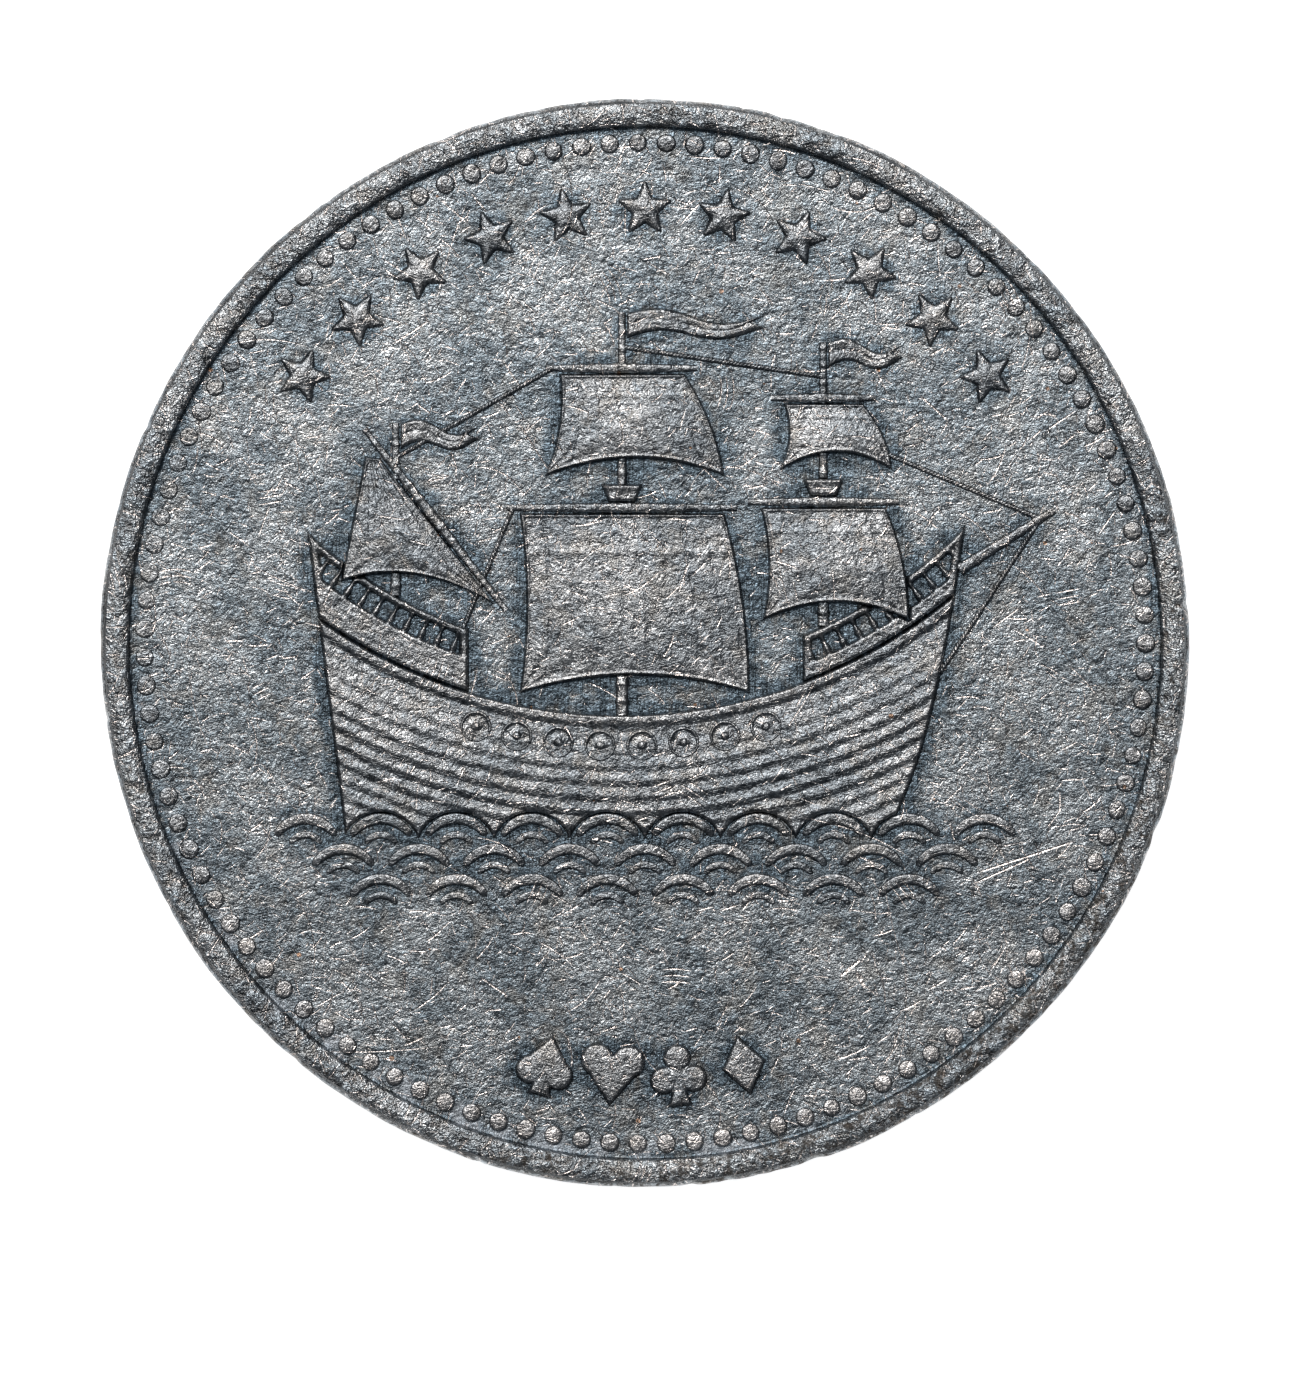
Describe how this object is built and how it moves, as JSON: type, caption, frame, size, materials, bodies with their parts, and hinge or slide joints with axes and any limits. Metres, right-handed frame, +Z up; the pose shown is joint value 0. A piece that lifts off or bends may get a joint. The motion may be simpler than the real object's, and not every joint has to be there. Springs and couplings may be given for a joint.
{
  "type": "game token",
  "caption": "Round struck metal game token with raised rims, beaded borders, a sailing ship under an arc of stars on one side and a wind rose on the other.",
  "frame": {"origin": "centre of the reverse rim's resting plane, on the token's axis", "axes": "+Z up out of the obverse along the token's axis, +Y towards the top of the obverse's picture"},
  "size_m": [0.026, 0.026, 0.0016],
  "materials": {
    "blank_metal": "struck, worn and scratched, with grey tarnish in the sheltered places",
    "relief_metal": "struck, worn bright on the high places, with grey tarnish at the foot of the relief"
  },
  "bodies": {
    "root": {"blank": "blank_metal", "obverse_beads": "relief_metal", "reverse_beads": "relief_metal", "star_arc": "relief_metal", "suit_row": "relief_metal", "hull": "relief_metal", "stern_castle": "relief_metal", "bow_castle": "relief_metal", "shields": "relief_metal", "main_course": "relief_metal", "main_topsail": "relief_metal", "fore_course": "relief_metal", "fore_topsail": "relief_metal", "mizzen_sail": "relief_metal", "masts": "relief_metal", "yards": "relief_metal", "bowsprit": "relief_metal", "fighting_tops": "relief_metal", "pennants": "relief_metal", "rigging": "relief_metal", "sea": "relief_metal", "wind_rose": "relief_metal", "rose_ring": "relief_metal", "rose_studs": "relief_metal"}
  },
  "joints": []
}
